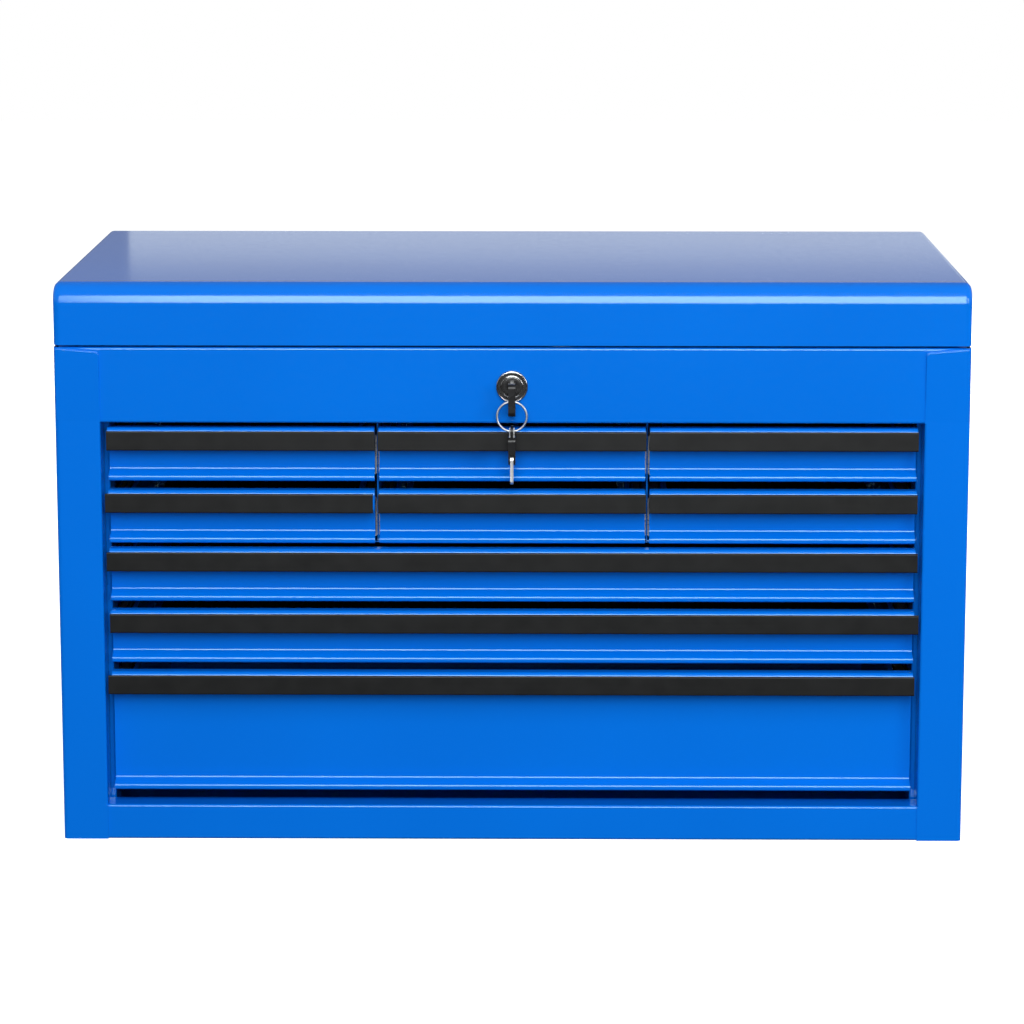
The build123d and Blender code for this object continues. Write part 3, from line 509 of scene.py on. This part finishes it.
def joined(name: str, pieces: list[bpy.types.Object]) -> bpy.types.Object:
    """Joins pieces into one.

    Args:
        name: The joined piece's name.
        pieces: The pieces.

    Returns:
        The joined piece.
    """
    deselect()
    for piece in pieces:
        piece.select_set(True)
    bpy.context.view_layer.objects.active = pieces[0]
    bpy.ops.object.join()
    pieces[0].name = pieces[0].data.name = name
    return pieces[0]


def mirrored(piece: bpy.types.Object, name: str) -> bpy.types.Object:
    """A copy of a piece on the other side of the chest's middle.

    Args:
        piece: The piece to copy.
        name: The copy's name.

    Returns:
        The copy, with its faces turned outwards again.
    """
    copy = copied(piece, [Vector((0, 0, 0))])[0]
    copy.name = copy.data.name = name
    copy.data.transform(Matrix.Scale(-1, 4, (1, 0, 0)))
    copy.data.flip_normals()
    return copy


def ribbed_mat(name: str, low: Point, high: Point, pitch: float,
               material: bpy.types.Material) -> bpy.types.Object:
    """A ribbed liner: a thin sheet with rounded ribs that run front to back.

    Args:
        name: The liner's name.
        low: Its lowest corner in metres.
        high: Its highest corner in metres, at the top of the ribs.
        pitch: The distance between ribs in metres.
        material: Its finish.

    Returns:
        The liner.
    """
    sheet_top = low[2] + (high[2] - low[2]) * MAT_SHEET
    sheet_round = (sheet_top - low[2]) * MAT_ROUND
    sheet = block(name, low, (high[0], high[1], sheet_top), sheet_round, material)
    count = int((high[0] - low[0]) / pitch)
    margin = ((high[0] - low[0]) - (count - 1) * pitch) / 2
    rib_half = pitch * RIB_HALF
    first = low[0] + margin
    rib_low = (first - rib_half, low[1] + rib_half, sheet_top - rib_half * RIB_SINK)
    rib_high = (first + rib_half, high[1] - rib_half, high[2])
    rib = block(f"{name}_rib", rib_low, rib_high, rib_half * RIB_ROUND, material)
    row = rib.modifiers.new("row", "ARRAY")
    row.count = count
    row.use_relative_offset = False
    row.use_constant_offset = True
    row.constant_offset_displace = (pitch, 0, 0)
    bpy.ops.object.modifier_apply(modifier=row.name)
    return joined(name, [sheet, rib])


def rivet(name: str, base: Point, axis: Axis, radius: float, height: float,
          material: bpy.types.Material) -> bpy.types.Object:
    """A domed rivet head that stands on a sheet.

    Args:
        name: The rivet's name.
        base: The middle of its foot.
        axis: The direction that it stands up in.
        radius: Its foot's radius in metres.
        height: Its height in metres.
        material: Its finish.

    Returns:
        The rivet.
    """
    stations = [(height * up, radius * out) for up, out in RIVET_DOME]
    return turned(name, base, axis, stations, RIVET_SIDES, material)


def pick(piece: bpy.types.Object, chosen: Callable[[Vector], bool]) -> None:
    """Selects a piece's vertices by their place, and the edges between them, in edit mode.

    Args:
        piece: The piece.
        chosen: Says whether a place is picked.
    """
    bpy.ops.object.mode_set(mode="EDIT")
    bpy.ops.mesh.select_mode(type="VERT")
    bpy.ops.mesh.select_all(action="DESELECT")
    bpy.ops.object.mode_set(mode="OBJECT")
    for vertex in piece.data.vertices:
        vertex.select = chosen(vertex.co)
    bpy.ops.object.mode_set(mode="EDIT")


def keep(piece: bpy.types.Object, body: str) -> None:
    """Evens a finished piece's shading and fixes it to its body.

    The shading is weighted by the faces' sizes, so that a flat face looks flat up to its edges.

    Args:
        piece: The piece.
        body: The body that it moves with.
    """
    deselect()
    piece.select_set(True)
    bpy.context.view_layer.objects.active = piece
    weights = piece.modifiers.new("flat_faces", "WEIGHTED_NORMAL")
    weights.keep_sharp = True
    bpy.ops.object.modifier_apply(modifier=weights.name)
    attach(piece, body)
    LOG.info("%s: %d faces, rides on %s", piece.name, len(piece.data.polygons), body)


# --- Sub-assemblies -------------------------------------------------------------------------------
@dataclass
class Liners:
    """Ribbed rubber liners in every drawer and in the till under the lid."""

    finishes: Finishes
    thickness: float = 1.9 * MM
    pitch: float = 6.0 * MM
    slide_width: float = 10.0 * MM
    slide_overlap: float = 0.5 * MM
    side_gap: float = 4.0 * MM
    end_gap: float = 3.0 * MM
    sheet: float = 0.8 * MM
    tray_front: float = -150.2 * MM
    till_half_width: float = 278.0 * MM
    till_half_depth: float = 150.0 * MM
    rubber_slot: Slot = Slot.PLASTIC
    key_drawer: str = "drawer_top_middle"
    key_lane: float = 2.5 * MM

    def build(self) -> None:
        """Lays one liner in each drawer and one on the till's floor."""
        for body in sorted(frame["bodies"]):
            if body.startswith("drawer_"):
                self.drawer_liner(body)
        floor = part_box("till_floor")[1][2]
        low = (-self.till_half_width, -self.till_half_depth, floor)
        high = (self.till_half_width, self.till_half_depth, floor + self.thickness)
        mat = ribbed_mat("till_liner", low, high, self.pitch, self.finishes.rubber)
        keep(mat, "cabinet")

    def drawer_liner(self, body: str) -> None:
        """Lays one drawer's liner, in two halves where the spare key hangs down into the drawer.

        Args:
            body: The drawer's body, which its node is named after.
        """
        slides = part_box(body.replace("drawer_", "slides_"))
        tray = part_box(body)
        reach = self.slide_width - self.slide_overlap
        low = (
            slides[0][0] + reach + self.side_gap,
            self.tray_front + self.end_gap,
            tray[0][2] + self.sheet,
        )
        high = (
            slides[1][0] - reach - self.side_gap,
            tray[1][1] - self.sheet - self.end_gap,
            low[2] + self.thickness,
        )
        halves = [(low, high)]
        if body == self.key_drawer:
            halves = [(low, (-self.key_lane, *high[1:])), ((self.key_lane, *low[1:]), high)]
        rubber = self.finishes.rubber
        mats = [ribbed_mat(f"liner_{body}", *half, self.pitch, rubber) for half in halves]
        keep(joined(f"liner_{body}", mats), body)


@dataclass
class HingeRivets:
    """Rows of rivets that hold the piano hinge's two leaves."""

    finishes: Finishes
    radius: float = 2.4 * MM
    height: float = 1.1 * MM
    count: int = 9
    inset: float = 22.0 * MM
    edge: float = 5.5 * MM
    leaf: float = 1.0 * MM

    def build(self) -> None:
        """Sets one row in each leaf."""
        for node, body in (("hinge_body_leaf", "cabinet"), ("hinge_lid_leaf", "lid")):
            low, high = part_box(node)
            row_z = low[2] + self.edge if body == "cabinet" else high[2] - self.edge
            start = (low[0] + self.inset, low[1] + self.leaf, row_z)
            step = (high[0] - low[0] - 2 * self.inset) / (self.count - 1)
            zinc = self.finishes.by_slot[Slot.ZINC]
            head = rivet(f"{body}_hinge_rivets", start, Axis.Y, self.radius, self.height, zinc)
            row = [head] + copied(head, [Vector((step * i, 0, 0)) for i in range(1, self.count)])
            keep(joined(f"{body}_hinge_rivets", row), body)


@dataclass
class SideHandleTrim:
    """The vinyl grips on the carrying handles and the rivets of their brackets."""

    finishes: Finishes
    grip_radius: float = 5.2 * MM
    grip_half: float = 33.0 * MM
    grip_sides: int = 32
    bar_x: float = 314.5 * MM
    bar_z: float = 165.0 * MM
    groove: float = 0.5 * MM
    grooves: int = 9
    groove_margin: float = 6.0 * MM
    end_steps: tuple[Pair, ...] = ((0.0, 1.2 * MM), (0.6 * MM, 0.3 * MM), (1.6 * MM, 0.0))
    rivet_radius: float = 3.0 * MM
    rivet_height: float = 1.4 * MM
    plate_x: float = 309.5 * MM
    rivet_places: tuple[Pair, ...] = (  # y and z in millimetres
        (-30.0, 181.0), (30.0, 181.0), (-30.0, 200.0), (30.0, 200.0)
    )

    def build(self) -> None:
        """Makes the right side's trim and its mirrored copies."""
        grip = self.grip()
        keep(grip, "side_handle_right")
        keep(mirrored(grip, "handle_grip_left"), "side_handle_left")
        heads = self.rivets()
        keep(heads, "cabinet")
        keep(mirrored(heads, "bracket_rivets_left"), "cabinet")

    def grip(self) -> bpy.types.Object:
        """Turns the grooved grip along the handle's bar."""
        radius, half, groove = self.grip_radius, self.grip_half, self.groove
        stations = [(along, radius - drop) for along, drop in self.end_steps]
        step = (2 * half - 2 * self.groove_margin) / (self.grooves - 1)
        for i in range(self.grooves):
            at = self.groove_margin + i * step
            stations += [(at - groove, radius), (at - groove / 2, radius - groove)]
            stations += [(at + groove / 2, radius - groove), (at + groove, radius)]
        stations += [(2 * half - along, radius - drop) for along, drop in reversed(self.end_steps)]
        foot = (self.bar_x, -half, self.bar_z)
        plastic = self.finishes.by_slot[Slot.PLASTIC]
        return turned("handle_grip_right", foot, Axis.Y, stations, self.grip_sides, plastic)

    def rivets(self) -> bpy.types.Object:
        """Sets the four rivets of the right bracket."""
        enamel = self.finishes.by_slot[Slot.ENAMEL]
        heads = [
            rivet(f"bracket_rivet_{i}", (self.plate_x, y * MM, z * MM), Axis.X, self.rivet_radius,
                  self.rivet_height, enamel)
            for i, (y, z) in enumerate(self.rivet_places)
        ]
        return joined("bracket_rivets_right", heads)


@dataclass
class LockTrim:
    """The lock's bright rims and black face, and the bright link at the spare key's head."""

    finishes: Finishes
    centre_z: float = 314.8 * MM
    front_y: float = -166.2 * MM
    face_radius: float = 6.5 * MM
    face_height: float = 0.4 * MM
    face_steps: tuple[Pair, ...] = (
        (0.0, 1.0), (0.7, 1.0), (1.0, 0.938462), (1.0, 0.62), (0.55, 0.56)
    )
    face_sides: int = 48
    outer_rim: Pair = (10.0 * MM, 0.6 * MM)
    inner_rim: Pair = (7.2 * MM, 0.45 * MM)
    rim_flatness: float = 0.7
    rim_steps: int = 64
    bead_sides: int = 12
    merge: float = 0.01 * MM
    link_x: float = 1.0 * MM
    link_sheet: float = 0.8 * MM
    ring_y: float = -175.0 * MM
    link_top: float = 288.6 * MM
    link_foot: float = 281.6 * MM
    link_half_depth: float = 2.4 * MM
    link_rounding: float = 0.2 * MM

    def build(self) -> None:
        """Makes the face, the two rims and the two link plates."""
        stations = [(self.face_height * up, self.face_radius * out) for up, out in self.face_steps]
        enamel = self.finishes.by_slot[Slot.ENAMEL]
        foot = (0, self.front_y, self.centre_z)
        face = turned("lock_face", foot, Axis.FRONT, stations, self.face_sides, enamel)
        keep(face, "lock_plug")
        keep(self.rim("lock_outer_rim", *self.outer_rim), "cabinet")
        keep(self.rim("lock_inner_rim", *self.inner_rim), "lock_plug")
        nickel = self.finishes.by_slot[Slot.KEY]
        low = (self.link_x, self.ring_y - self.link_half_depth, self.link_foot)
        high = (self.link_x + self.link_sheet, self.ring_y + self.link_half_depth, self.link_top)
        plate = block("spare_key_link_right", low, high, self.link_rounding, nickel)
        keep(plate, "spare_key_head")
        keep(mirrored(plate, "spare_key_link_left"), "spare_key_head")

    def rim(self, name: str, radius: float, bead: float) -> bpy.types.Object:
        """Spins a flattened bead round the lock's axis.

        Args:
            name: The rim's name.
            radius: The radius of the bead's middle in metres.
            bead: The bead's own half width in metres.

        Returns:
            The rim.
        """
        deselect()
        centre = Vector((0, self.front_y, self.centre_z))
        start = centre + Vector((radius, 0, 0))
        bpy.ops.mesh.primitive_circle_add(vertices=self.bead_sides, radius=bead, location=start)
        bpy.ops.object.mode_set(mode="EDIT")
        bpy.ops.transform.resize(value=(1.0, self.rim_flatness, 1.0), center_override=start)
        bpy.ops.mesh.spin(steps=self.rim_steps, angle=math.tau, center=centre, axis=(0, 1, 0))
        bpy.ops.mesh.select_all(action="SELECT")
        bpy.ops.mesh.remove_doubles(threshold=self.merge)
        bpy.ops.mesh.normals_make_consistent(inside=False)
        return settle(name, self.finishes.by_slot[Slot.CHROME])


@dataclass
class StileCaps:
    """The upper end of each stile, where its sheet laps over the lock rail and stands proud."""

    finishes: Finishes
    outer_x: float = 307.0 * MM
    inner_x: float = 277.6 * MM
    foot_z: float = 291.0 * MM
    top_z: float = 340.4 * MM
    fall: float = 2.4 * MM
    corner: float = 2.6 * MM
    proud: float = 1.2 * MM
    foot_proud: float = 0.02 * MM
    corner_steps: int = 6
    edge_round: float = 1.1 * MM
    edge_steps: int = 4
    front_y: float = -165.0 * MM

    def build(self) -> None:
        """Makes the right stile's cap and its mirrored copy."""
        deselect()
        low = Vector((self.inner_x, self.front_y - self.proud, self.foot_z))
        high = Vector((self.outer_x, self.front_y + self.proud, self.top_z))
        bpy.ops.mesh.primitive_cube_add(size=1, location=(low + high) / 2, scale=high - low)
        bpy.ops.object.transform_apply(location=True, rotation=True, scale=True)
        cap = bpy.context.object
        pick(cap, lambda at: at.z < self.foot_z + MM and at.y < self.front_y)
        bpy.ops.transform.translate(value=(0, self.proud - self.foot_proud, 0))
        pick(cap, lambda at: at.z > self.top_z - MM and at.x < self.inner_x + MM)
        bpy.ops.transform.translate(value=(0, 0, -self.fall))
        bpy.ops.mesh.bevel(offset=self.corner, segments=self.corner_steps, affect="EDGES")
        bpy.ops.object.mode_set(mode="OBJECT")
        bevel(cap, self.edge_round, self.edge_steps)
        keep(settle("stile_cap_right", self.finishes.by_slot[Slot.BLUE]), "cabinet")
        keep(mirrored(cap, "stile_cap_left"), "cabinet")


@dataclass
class LidTrim:
    """The stiffening channel under the lid."""

    finishes: Finishes
    half_length: float = 268.0 * MM
    half_width: float = 24.0 * MM
    depth: float = 9.0 * MM
    flange: float = 9.0 * MM
    sheet: float = 1.0 * MM
    draw: Point = (0.975, 0.72, 1.0)
    bead_margin: float = 8.0 * MM
    bead_depth: float = 2.5 * MM
    edge_round: float = 0.8 * MM
    edge_steps: int = 3
    lid_under: float = 383.2 * MM

    def build(self) -> None:
        """Draws a flat strip down into a hat-shaped channel across the lid's underside."""
        deselect()
        middle = (0, 0, self.lid_under - self.sheet / 2)
        size = (2 * self.half_length, 2 * (self.half_width + self.flange), self.sheet)
        bpy.ops.mesh.primitive_cube_add(size=1, location=middle, scale=size)
        bpy.ops.object.transform_apply(location=True, rotation=True, scale=True)
        piece = bpy.context.object
        bpy.ops.object.mode_set(mode="EDIT")
        bpy.ops.mesh.select_all(action="DESELECT")
        bpy.ops.object.mode_set(mode="OBJECT")
        for face in piece.data.polygons:
            face.select = face.normal.z < FACES_DOWN
        bpy.ops.object.mode_set(mode="EDIT")
        bpy.ops.mesh.inset(thickness=self.flange, use_even_offset=True)
        bpy.ops.mesh.extrude_region_move(TRANSFORM_OT_translate={"value": (0, 0, -self.depth)})
        bottom = (0, 0, self.lid_under - self.depth)
        bpy.ops.transform.resize(value=self.draw, center_override=bottom)
        bpy.ops.mesh.inset(thickness=self.bead_margin, use_even_offset=True)
        bpy.ops.mesh.extrude_region_move(TRANSFORM_OT_translate={"value": (0, 0, self.bead_depth)})
        bpy.ops.object.mode_set(mode="OBJECT")
        bevel(piece, self.edge_round, self.edge_steps)
        keep(settle("lid_stiffener", self.finishes.by_slot[Slot.BLUE]), "lid")


# --- Studio ---------------------------------------------------------------------------------------
@dataclass(frozen=True)
class Lamp:
    """One oblong soft light that the camera doesn't see."""

    name: str
    place: Point
    target: Point
    size: Pair
    power: float
    tint: Point = (1.0, 1.0, 1.0)
    reflected: bool = True

    def hang(self) -> None:
        """Adds the light to the scene, facing its target."""
        lamp = bpy.data.lights.new(self.name, "AREA")
        lamp.shape = "RECTANGLE"
        lamp.size, lamp.size_y = self.size
        lamp.energy = self.power
        lamp.color = self.tint
        holder = bpy.data.objects.new(self.name, lamp)
        bpy.context.scene.collection.objects.link(holder)
        holder.visible_camera = False
        holder.visible_glossy = self.reflected
        holder.location = self.place
        holder.rotation_euler = facing(self.place, self.target)


def facing(place: Point, target: Point) -> Euler:
    """The rotation that points a light or camera from its place at a target."""
    return (Vector(target) - Vector(place)).to_track_quat("-Z", "Y").to_euler()


@dataclass
class Studio:
    """The floor, the surround, the lights and the camera."""

    eye: Point = (0.025, -2.625, 0.6887)
    aim: Point = (0.0, -0.165, 0.2292)
    lens: float = 130.2
    sensor: float = 36.0
    clip_end: float = 50.0
    floor_size: float = 12.0
    levels: tuple[Pair, ...] = ((0.0, 0.04), (0.485, 0.04), (0.53, 0.33), (0.75, 0.18))
    lamps: tuple[Lamp, ...] = (
        Lamp("softbox", (0.1, -3.1, 1.42), (0, -0.165, 0.25), (1.6, 1.95), 73.0,
             (0.93, 0.96, 0.97)),
        Lamp("right_fill", (1.6, -1.7, 0.8), (0, -0.165, 0.2), (0.7, 0.7), 9.0),
        Lamp("back_card", (0.04, 0.75, 0.30), (0.04, 0.0, 0.30), (0.8, 0.36), 0.44,
             (0.98, 1.04, 0.96)),
        Lamp("high_bounce", (0.3, -1.9, 2.3), (0, -0.165, 0.2), (1.4, 1.0), 24.0, reflected=False),
        Lamp("left_side_fill", (-2.3, 0.5, 0.65), (0, 0, 0.2), (1.2, 1.0), 24.0, reflected=False),
        Lamp("right_side_fill", (2.3, 0.5, 0.65), (0, 0, 0.2), (1.2, 1.0), 24.0, reflected=False),
        Lamp("back_fill", (0.2, 2.7, 0.75), (0, 0, 0.2), (1.2, 1.0), 34.0, reflected=False),
    )

    def build(self, finishes: Finishes) -> None:
        """Makes the floor, the white surround, the lights and the camera.

        Args:
            finishes: The shared finishes.
        """
        scene = bpy.context.scene
        scene.view_settings.view_transform = "Standard"
        self.surround(scene)
        deselect()
        bpy.ops.mesh.primitive_plane_add(size=self.floor_size, location=(0, 0, 0))
        floor = settle("floor", finishes.floor)
        floor.visible_diffuse = floor.visible_glossy = False
        for lamp in self.lamps:
            lamp.hang()
        camera = bpy.data.cameras.new("camera")
        camera.lens = self.lens
        camera.sensor_width = self.sensor
        camera.clip_end = self.clip_end
        holder = bpy.data.objects.new("camera", camera)
        scene.collection.objects.link(holder)
        holder.location = self.eye
        holder.rotation_euler = facing(self.eye, self.aim)
        scene.camera = holder

    def surround(self, scene: bpy.types.Scene) -> None:
        """Makes the surround: white to look at, and dim below and bright above for what it lights.

        Args:
            scene: The scene that gets it.
        """
        world = bpy.data.worlds.new("white_surround")
        scene.world = world
        world.use_nodes = True
        tree = world.node_tree
        white = tree.nodes["Background"]
        white.inputs["Color"].default_value = (1, 1, 1, 1)
        direction = tree.nodes.new("ShaderNodeTexCoord").outputs["Generated"]
        height = tree.nodes.new("ShaderNodeSeparateXYZ")
        tree.links.new(direction, height.inputs["Vector"])
        ramp = tree.nodes.new("ShaderNodeValToRGB")
        while len(ramp.color_ramp.elements) < len(self.levels):
            ramp.color_ramp.elements.new(0.5)
        for element, (place, level) in zip(ramp.color_ramp.elements, self.levels):
            element.position = place
            element.color = (level, level, level, 1.0)
        halved = tree.nodes.new("ShaderNodeMath")
        halved.operation = "MULTIPLY_ADD"
        halved.inputs[1].default_value = halved.inputs[2].default_value = 0.5
        tree.links.new(height.outputs["Z"], halved.inputs[0])
        tree.links.new(halved.outputs["Value"], ramp.inputs["Fac"])
        glow = tree.nodes.new("ShaderNodeBackground")
        tree.links.new(ramp.outputs["Color"], glow.inputs["Color"])
        choice = tree.nodes.new("ShaderNodeMixShader")
        seen = tree.nodes.new("ShaderNodeLightPath").outputs["Is Camera Ray"]
        tree.links.new(seen, choice.inputs["Fac"])
        tree.links.new(glow.outputs["Background"], choice.inputs[1])
        tree.links.new(white.outputs["Background"], choice.inputs[2])
        tree.links.new(choice.outputs["Shader"], tree.nodes["World Output"].inputs["Surface"])


def main() -> None:
    """Builds the chest's looks around its frame."""
    logging.basicConfig(level=logging.INFO, format="%(message)s")
    finishes = Finishes()
    finishes.dress_frame()
    for assembly in (Liners, HingeRivets, SideHandleTrim, LockTrim, StileCaps, LidTrim):
        assembly(finishes).build()
    Studio().build(finishes)


if __name__ == "__main__":
    main()
